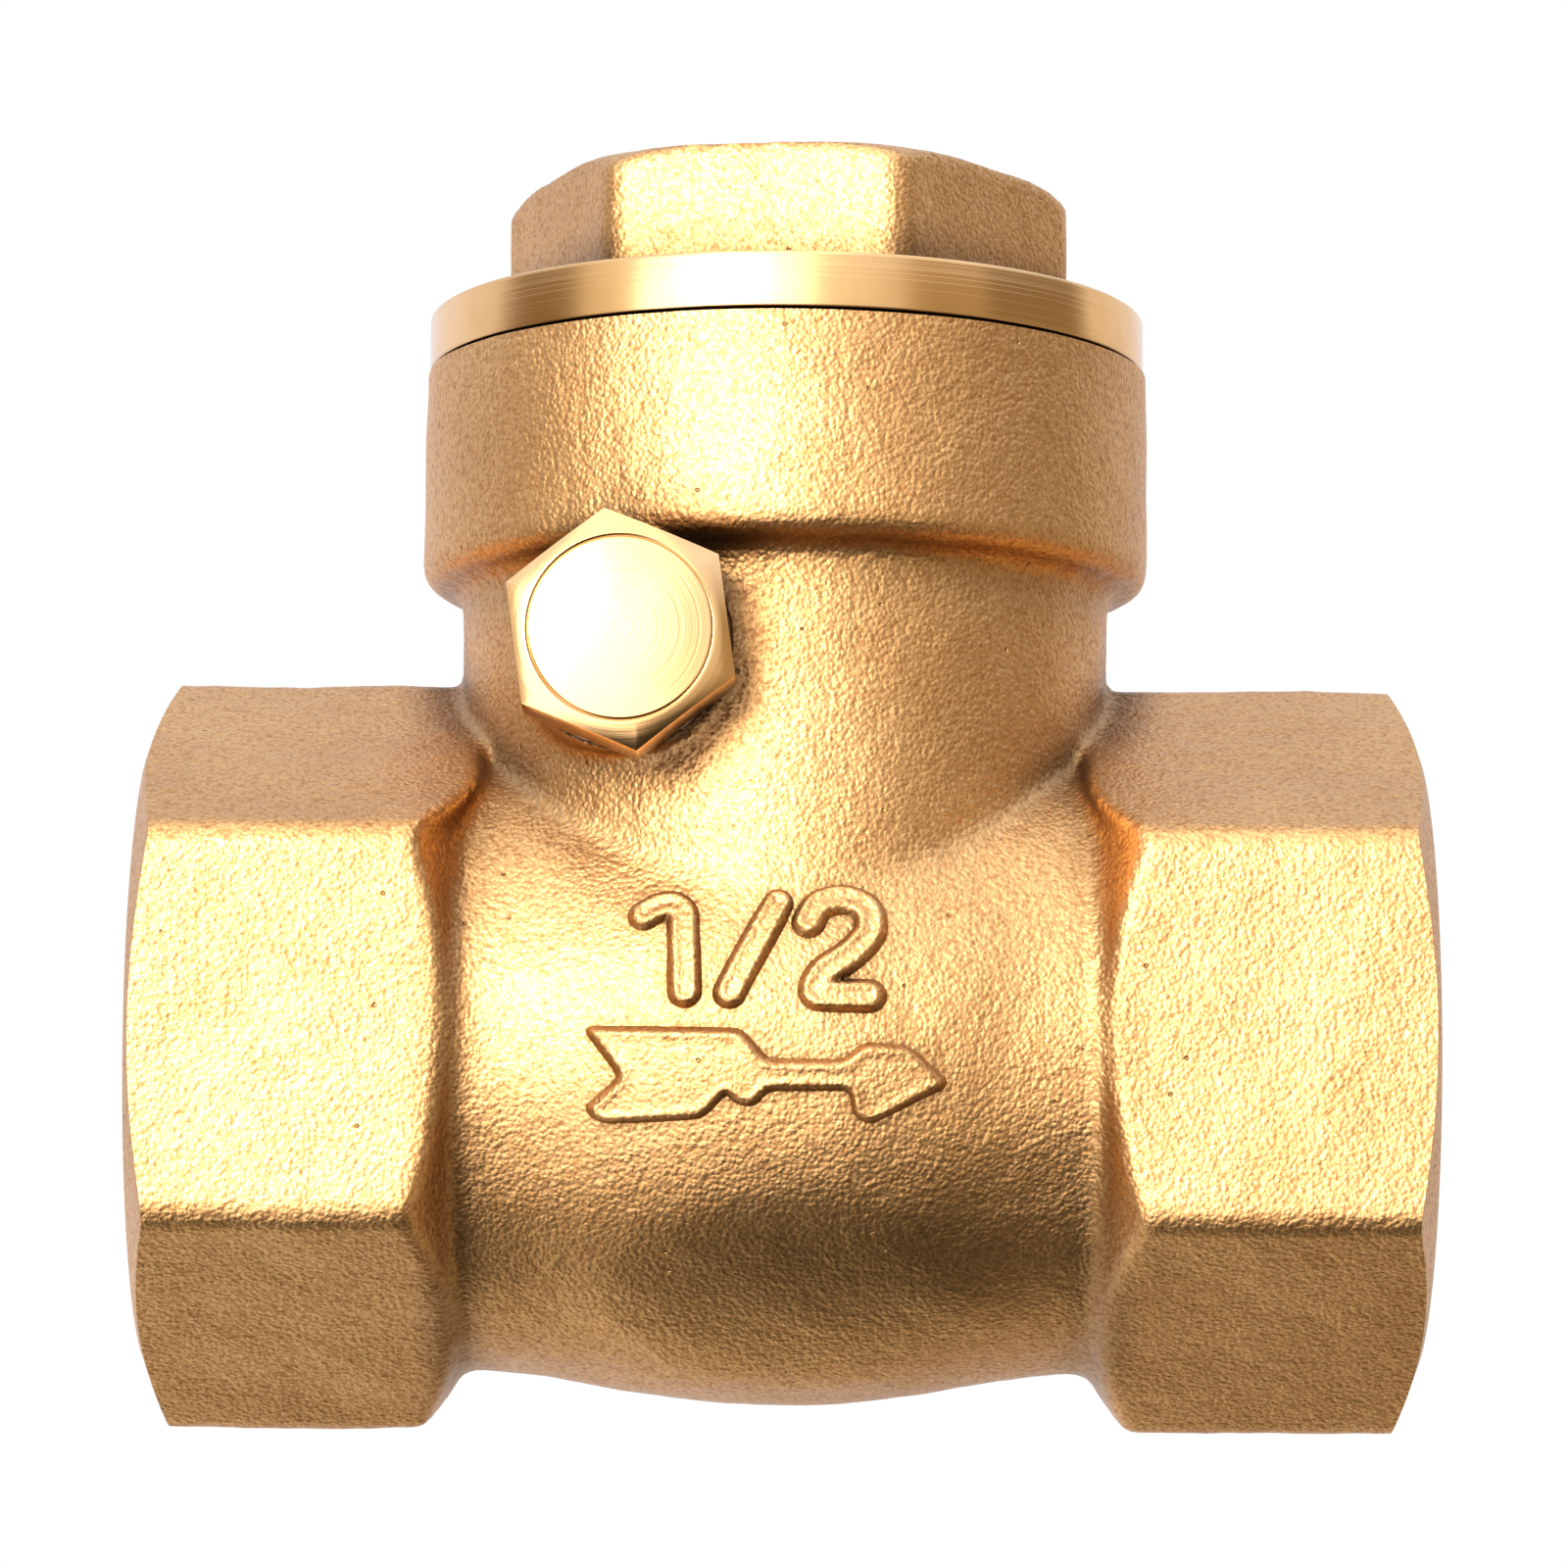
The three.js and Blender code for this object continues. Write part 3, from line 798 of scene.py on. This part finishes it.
def make_bonnet_cap():
    """The screwed cap: a cast hexagon on a turned flange, with a hollow threaded spigot below."""
    spacing = 0.22
    corner = CAP_ACROSS_FLATS / math.sqrt(3)
    reach = corner + 1
    low = np.array([-reach, -reach, FLANGE_TOP - 1.6])
    high = np.array([reach, reach, CAP_HIGH[2] + 1])
    x, y, z = sample_space(low, high, spacing)
    flats = hexagon_field(x, y, CAP_ACROSS_FLATS, CAP_TURN - math.pi / 2, 0.8)
    chamfer = (np.sqrt(x * x + y * y) - (corner - 1.3)) * 0.5 + (z - CAP_HIGH[2]) * 0.866
    field = blend_max(flats, chamfer, 0.3)
    field = blend_max(field, z - CAP_HIGH[2] + 0.03, 0.25)
    field = field + cast_skin(field.shape, spacing, 0.9, 0.007)
    field = field + cast_skin(field.shape, spacing, 3.0, 0.012)
    field = np.maximum(field, FLANGE_TOP - 0.8 - z)
    cap = bare_object("bonnet_cap_cast", *field_mesh(field, low, spacing))
    thread_start, thread_stop = CAP_LOW[2] + 0.3, RECESS_FLOOR - 0.2
    rows = [(CAP_THREAD_MINOR - 0.3, CAP_LOW[2])]
    rows += thread_rows(CAP_THREAD_MINOR, CAP_THREAD_MAJOR, CAP_PITCH, thread_start, thread_stop)
    rows += rounded(
        [
            (CAP_THREAD_MINOR, RECESS_FLOOR - 0.1),
            (CAP_THREAD_MINOR, FLANGE_BOTTOM),
            (FLANGE_RADIUS, FLANGE_BOTTOM),
            (FLANGE_RADIUS, FLANGE_TOP),
            (CAP_THREAD_MINOR, FLANGE_TOP),
        ],
        0.12,
    )
    combine(cap, loft(rows), "UNION")
    hollow = rounded(
        [
            (CAP_HOLLOW_RADIUS, CAP_LOW[2] - 1),
            (CAP_HOLLOW_RADIUS, CAP_HOLLOW_TOP),
            (1, CAP_HOLLOW_TOP + 0.6),
        ],
        1.2,
    )
    combine(cap, loft(hollow), "DIFFERENCE")
    drop_slivers(cap)
    x, y, z = face_middles(cap)
    hollow_roof = (np.hypot(x, y) < CAP_HOLLOW_RADIUS - 0.5) & (z < CAP_HOLLOW_TOP + 1)
    machined = (z < FLANGE_TOP + 0.01) | hollow_roof
    materials = [CAST_BRASS, TURNED_ON_BONNET]
    return finish_piece(cap, "bonnet", materials, "bonnet_cap", machined=machined)


def make_ring(name, node, axis, inner, corner, body, material, at=(0, 0, 0)):
    """A flat ring that fills its CAD node's box, with an eased section."""
    k = "xyz".index(axis)
    low, high = span(node)
    outer = (high - low)[(k + 1) % 3] / 2
    profile = [(inner, low[k]), (outer, low[k]), (outer, high[k]), (inner, high[k])]
    made = bare_object(name, *turned(profile, axis, at, corner, ring=True))
    return finish_piece(made, body, [material], node)


# ---- Hinge pin and plug -----------------------------------------------------------------------


def hex_prism(across_flats, low, high, turn):
    """A hexagonal prism about Z, with its first corner at the given angle."""
    angles = turn + np.arange(6) * math.pi / 3
    radius = across_flats / math.sqrt(3)
    ring = np.column_stack([radius * np.cos(angles), radius * np.sin(angles)])
    points = np.vstack([np.column_stack([ring, np.full(6, level)]) for level in (low, high)])
    faces = [[5, 4, 3, 2, 1, 0], [6, 7, 8, 9, 10, 11]]
    faces += [[i, (i + 1) % 6, 6 + (i + 1) % 6, 6 + i] for i in range(6)]
    return points, faces


def make_pin_plug():
    """A turned hexagon head, chamfered in front, on a threaded shank bored for the pin."""
    head = hex_prism(PLUG_ACROSS_FLATS, PLUG_LOW[1], PLUG_HEAD_BACK, math.pi / 2 - PLUG_TURN)
    plug = bare_object("pin_plug_turned", about_pin(head[0]), head[1])
    corner = PLUG_ACROSS_FLATS / math.sqrt(3) + 0.1
    chamfer = (corner - PLUG_FACE_RADIUS) * math.tan(math.radians(20))
    front, groove = PLUG_LOW[1], PLUG_FACE_RADIUS + 0.09
    envelope = loft(
        [
            (PLUG_FACE_RADIUS, front),
            (groove, front + 0.1),
            (groove + 0.09, front + 0.04),
            (corner, front + chamfer),
            (corner, PLUG_HEAD_BACK - 0.3),
            (corner - 0.5, PLUG_HEAD_BACK),
        ],
        SIDES,
    )
    combine(plug, (about_pin(envelope[0]), envelope[1]), "INTERSECT")
    ease_edges(plug, 0.08, angle=20)
    minor, end = PLUG_THREAD_MINOR, PLUG_HIGH[1]
    rows = [(minor, PLUG_HEAD_BACK - 0.5)]
    rows += thread_rows(minor, PLUG_THREAD_MAJOR, PLUG_PITCH, PLUG_HEAD_BACK + 0.3, end - 0.4, SMALL_SIDES)
    rows += [(minor, end - 0.35), (minor - 0.35, end)]
    shank = loft(rows, SMALL_SIDES)
    combine(plug, (about_pin(shank[0]), shank[1]), "UNION")
    combine(plug, pin_bore(PIN_LOW[1] - 0.4, PLUG_HIGH[1] + 1, SIDES), "DIFFERENCE")
    return finish_piece(plug, "plug", [TURNED_ON_PIN], "pin_plug", sharp=20)


def make_hinge_pin():
    """A drawn pin with both ends chamfered."""
    chamfer = 0.3
    profile = [
        (PIN_RADIUS - chamfer, PIN_LOW[1]),
        (PIN_RADIUS, PIN_LOW[1] + chamfer),
        (PIN_RADIUS, PIN_HIGH[1] - chamfer),
        (PIN_RADIUS - chamfer, PIN_HIGH[1]),
    ]
    points, faces = loft(rounded(profile, 0.1), SMALL_SIDES)
    made = bare_object("hinge_pin_drawn", about_pin(points), faces)
    return finish_piece(made, "valve_body", [STEEL_ON_PIN], "hinge_pin")


# ---- Clapper ----------------------------------------------------------------------------------


def make_hinge_arm():
    """The forged arm: a hub on the pin, a web, and an eye round the disc's stud."""
    spacing = 0.17
    low, high = span("hinge_arm")
    hub_radius, eye_radius, eye_bore, root_half = 2.6, 4.1, 2.1, 5.0
    web_front, web_back = -4.8, -3.0
    web_middle, web_half = (web_front + web_back) / 2, (web_back - web_front) / 2
    x, y, z = sample_space(low - 1, high + 1, spacing)
    hub = rounded_corner(np.hypot(x - PIN_X, z - PIN_Z) - hub_radius, np.abs(y) - high[1], 0.3)
    slope = math.asin((root_half - eye_radius) / PIN_Z)
    side = np.abs(y) * math.cos(slope) - z * math.sin(slope) - eye_radius
    eye = np.hypot(y, z) - eye_radius
    web_outline = np.where(z < 0, eye, np.maximum(side, z - PIN_Z))
    web = rounded_corner(web_outline, np.abs(x - web_middle) - web_half, 0.35)
    field = blend_min(hub, web, 1.2)
    field = np.where(z < PIN_Z - hub_radius, np.maximum(field, x - web_back), field)
    arm = bare_object("hinge_arm_forged", *field_mesh(field, low - 1, spacing))
    combine(arm, pin_bore(low[1] - 1, high[1] + 1), "DIFFERENCE")
    drilled = loft([(eye_bore, low[0] - 1), (eye_bore, high[0] + 1)], SMALL_SIDES)
    combine(arm, (along("x", drilled[0]), drilled[1]), "DIFFERENCE")
    return finish_piece(arm, "clapper_arm", [FORGED_BRASS], "hinge_arm")


def make_disc():
    """The turned disc with the cup for its seal, its front boss and its threaded stud."""
    low, high = span("disc")
    radius = high[2]
    front, back, rim_front, rim_inner = -6.9, -5.1, -7.9, 7.25
    boss_radius, stud_minor, stud_major, stud_pitch = 2.0, 1.6, 1.95, 0.7
    screw_hole, hole_end, hole_tip = 1.4, -6.0, -5.6
    profile = rounded(
        [
            (boss_radius - 0.2, low[0]),
            (boss_radius, low[0] + 0.2),
            (boss_radius, front),
            (rim_inner, front),
            (rim_inner, rim_front),
            (radius, rim_front),
            (radius, back),
            (stud_major, back),
            (stud_major, back + 2.4),
        ],
        0.15,
    )
    profile += thread_rows(stud_minor, stud_major, stud_pitch, back + 2.5, high[0] - 0.3)
    profile += [(stud_minor, high[0] - 0.25), (stud_minor - 0.25, high[0])]
    points, faces = loft(profile)
    disc = bare_object("disc_turned", along("x", points), faces)
    hole = loft([(screw_hole, low[0] - 1), (screw_hole, hole_end), (0.2, hole_tip)], SMALL_SIDES)
    combine(disc, (along("x", hole[0]), hole[1]), "DIFFERENCE")
    return finish_piece(disc, "clapper_disc", [TURNED_ON_FLOW], "disc")


def make_seal_screw():
    """A pan head screw with a slot."""
    low, high = span("seal_screw")
    head, head_back, shank = high[2], -9.85, 1.2
    profile = [
        (head * 0.55, low[0]),
        (head * 0.86, low[0] + 0.22),
        (head, low[0] + 0.62),
        (head, head_back),
        (shank, head_back),
        (shank, high[0] - 0.3),
        (shank - 0.3, high[0]),
    ]
    points, faces = loft(rounded(profile, 0.1), SMALL_SIDES)
    screw = bare_object("seal_screw_pan", along("x", points), faces)
    slot_width, slot_reach = 0.7, head + 1
    slot = hex_prism(slot_width, -slot_reach, slot_reach, 0)
    stretched = slot[0] * np.array([1.3, 0.9, 1]) + np.array([low[0], 0, 0])
    combine(screw, (stretched, slot[1]), "DIFFERENCE")
    ease_edges(screw, 0.05)
    return finish_piece(screw, "clapper_disc", [STEEL_ON_FLOW], "seal_screw", sharp=25)


def make_disc_nut():
    """A hexagon nut on the disc's stud, with both faces and its bore chamfered."""
    low, high = span("disc_nut")
    across = high[1] - low[1]
    corner = across / math.sqrt(3)
    prism = hex_prism(across, low[0], high[0], math.pi / 2)
    nut = bare_object("disc_nut_hex", along("x", prism[0]), prism[1])
    face = across / 2 * 0.95
    envelope = loft(
        [
            (face, low[0]),
            (corner + 0.1, low[0] + 0.4),
            (corner + 0.1, high[0] - 0.4),
            (face, high[0]),
        ]
    )
    combine(nut, (along("x", envelope[0]), envelope[1]), "INTERSECT")
    bore, mouth = 2.05, 2.35
    hole = loft(
        [(mouth, low[0] - 0.3), (bore, low[0] + 0.15), (bore, high[0] - 0.15), (mouth, high[0] + 0.3)],
        SMALL_SIDES,
    )
    combine(nut, (along("x", hole[0]), hole[1]), "DIFFERENCE")
    ease_edges(nut, 0.06)
    return finish_piece(nut, "clapper_disc", [TURNED_ON_FLOW], "disc_nut", sharp=20)


# ---- Stage, light and camera ------------------------------------------------------------------


def make_camera():
    """A little below the valve, close in front and looking slightly up."""
    place = np.array([0, -252.24, -23.37])
    pitch, roll = math.radians(7.755), math.radians(0.352)
    ahead = np.array([0, math.cos(pitch), math.sin(pitch)])
    right = np.array([1.0, 0, 0])
    up = np.cross(right, ahead)
    rolled_right = right * math.cos(roll) + up * math.sin(roll)
    rolled_up = up * math.cos(roll) - right * math.sin(roll)
    data = bpy.data.cameras.new("camera")
    data.sensor_width = 36
    data.lens = 145.9
    data.clip_start = 0.01
    camera = bpy.data.objects.new("camera", data)
    bpy.context.scene.collection.objects.link(camera)
    turn = np.eye(4)
    turn[:3, :3] = np.column_stack([rolled_right, rolled_up, -ahead])
    turn[:3, 3] = place * MM
    camera.matrix_world = Matrix(turn.tolist())
    bpy.context.scene.camera = camera


def make_floor():
    """A plain pale floor, below the valve and the camera, because pipes carry the valve."""
    size, drop = 900.0, -60.0
    points = [[-size, -size, drop], [size, -size, drop], [size, size, drop], [-size, size, drop]]
    floor = bare_object("floor", points, [[0, 1, 2, 3]])
    n = Nodes("pale_floor")
    tone = n.tones(n.noise(30.0), (0.3, (0.80, 0.79, 0.78)), (0.7, (0.84, 0.83, 0.82)))
    floor.data.materials.append(n.surface(tone, 0.8, metallic=0.0))
    floor.visible_glossy = False


class World(Graph):
    """The studio's surroundings, built from the direction looked in."""

    def __init__(self):
        world = bpy.data.worlds.new("studio")
        world.use_nodes = True
        bpy.context.scene.world = world
        super().__init__(world.node_tree)
        self.direction = self.add("ShaderNodeTexCoord").outputs["Generated"]
        parts = self.add("ShaderNodeSeparateXYZ", {0: self.direction}).outputs
        self.x, self.y, self.z = parts["X"], parts["Y"], parts["Z"]

    def share(self, value, start, stop):
        """0 at start and 1 at stop, eased between."""
        inputs = {"Value": value, "From Min": start, "From Max": stop}
        return self.add("ShaderNodeMapRange", inputs, interpolation_type="SMOOTHSTEP").outputs["Result"]

    def round_horizon(self, stops):
        """A colour for each compass angle, where 0 is the camera's side and 90 is the outlet's."""
        angle = self.maths("ARCTAN2", self.x, self.maths("MULTIPLY", self.y, -1.0))
        inputs = {"Value": angle, "From Min": -math.pi, "From Max": math.pi}
        turn = self.add("ShaderNodeMapRange", inputs).outputs["Result"]
        return self.ramp(turn, [((degrees + 180) / 360, colour) for degrees, colour in stops])

    def facing(self, towards):
        """How closely the direction faces another one, 1 being the same."""
        return self.vector_maths("DOT_PRODUCT", self.direction, Vector(towards).normalized(), result="Value")


def make_world():
    """A soft studio: broad light from the front left and above, dark gaps at both sides, a dim floor."""
    w = World()
    left, right, gap = (0.92, 0.94, 1.08), (0.86, 0.82, 0.80), (0.24, 0.175, 0.10)
    hot, gold, mid, tan = (2.85, 2.78, 2.95), (1.1, 1.05, 1.05), (0.83, 0.80, 0.75), (0.44, 0.34, 0.22)
    strip, ceiling, back = (2.3, 2.3, 2.4), (1.13, 1.20, 1.48), (0.80, 0.88, 1.10)
    left_ground, right_ground, dark = (0.95, 0.90, 0.80), (0.52, 0.43, 0.31), (0.03, 0.027, 0.02)
    horizon = w.round_horizon(
        [
            (-180, left), (-104, left), (-98, gap), (-72, gap), (-67, mid), (-51, mid), (-45, hot), (3, hot),
            (11, gold), (36, mid), (42, tan), (64, tan), (70, gap), (105, gap), (115, right), (180, left),
        ]
    )  # fmt: skip
    off_strip = w.maths("ABSOLUTE", w.maths("ADD", w.x, 0.05))
    above = w.mix(w.share(off_strip, 0.2, 0.42), strip, ceiling)
    above = w.mix(w.share(w.y, -0.5, 0.4), above, back)
    upper = w.mix(w.share(w.z, 0.22, 0.6), horizon, above)
    ground = w.mix(w.share(w.x, -0.3, 0.3), left_ground, right_ground)
    lower = w.mix(w.share(w.facing((-0.5, 0, 1)), -0.15, -0.8), upper, ground)
    spot_edge, spot_core = math.cos(math.radians(50)), math.cos(math.radians(25))
    light = w.mix(w.share(w.facing((0.22, -0.37, -0.90)), spot_edge, spot_core), lower, dark)
    lit = w.add("ShaderNodeBackground", {"Color": light, "Strength": 1.0})
    seen = w.add("ShaderNodeBackground", {"Color": (*WHITE, 1), "Strength": 1.0})
    direct = w.add("ShaderNodeLightPath").outputs["Is Camera Ray"]
    choice = w.add("ShaderNodeMixShader", {0: direct, 1: lit.outputs[0], 2: seen.outputs[0]})
    w.tree.links.new(choice.outputs[0], w.tree.nodes["World Output"].inputs["Surface"])


def make_key_light():
    """A soft key from the left in front, a little above, for the shadow beside the plug."""
    data = bpy.data.lights.new("key", "AREA")
    data.shape = "DISK"
    data.size = 0.22
    data.energy = 3.0
    data.color = (1.0, 0.97, 0.9)
    light = bpy.data.objects.new("key", data)
    bpy.context.scene.collection.objects.link(light)
    place = np.array([-0.20, -0.54, 0.15])
    aim = np.array([0, 0, 0.01]) - place
    light.location = place
    light.rotation_mode = "QUATERNION"
    light.rotation_quaternion = Vector(aim).to_track_quat("-Z", "Y")


make_camera()
make_floor()
make_world()
make_key_light()
bpy.context.scene.view_settings.view_transform = "Standard"

make_body()
make_marks()
make_bonnet_cap()
make_ring("cap_gasket_ring", "cap_gasket", "z", 12.1, 0.2, "cap_gasket", GASKET_FIBRE)
make_pin_plug()
make_ring(
    "plug_gasket_ring", "plug_gasket", "y", 3.2, 0.1, "plug_gasket", GASKET_FIBRE, PIN_PLACE
)
make_hinge_pin()
make_hinge_arm()
make_disc()
make_ring("disc_seal_ring", "disc_seal", "x", 2.3, 0.3, "clapper_disc", SEAL_RUBBER)
make_ring(
    "seal_retainer_ring", "seal_retainer", "x", 1.4, 0.15, "clapper_disc", TURNED_ON_FLOW
)
make_seal_screw()
make_ring("disc_washer_ring", "disc_washer", "x", 2.1, 0.1, "clapper_disc", STEEL_ON_FLOW)
make_disc_nut()
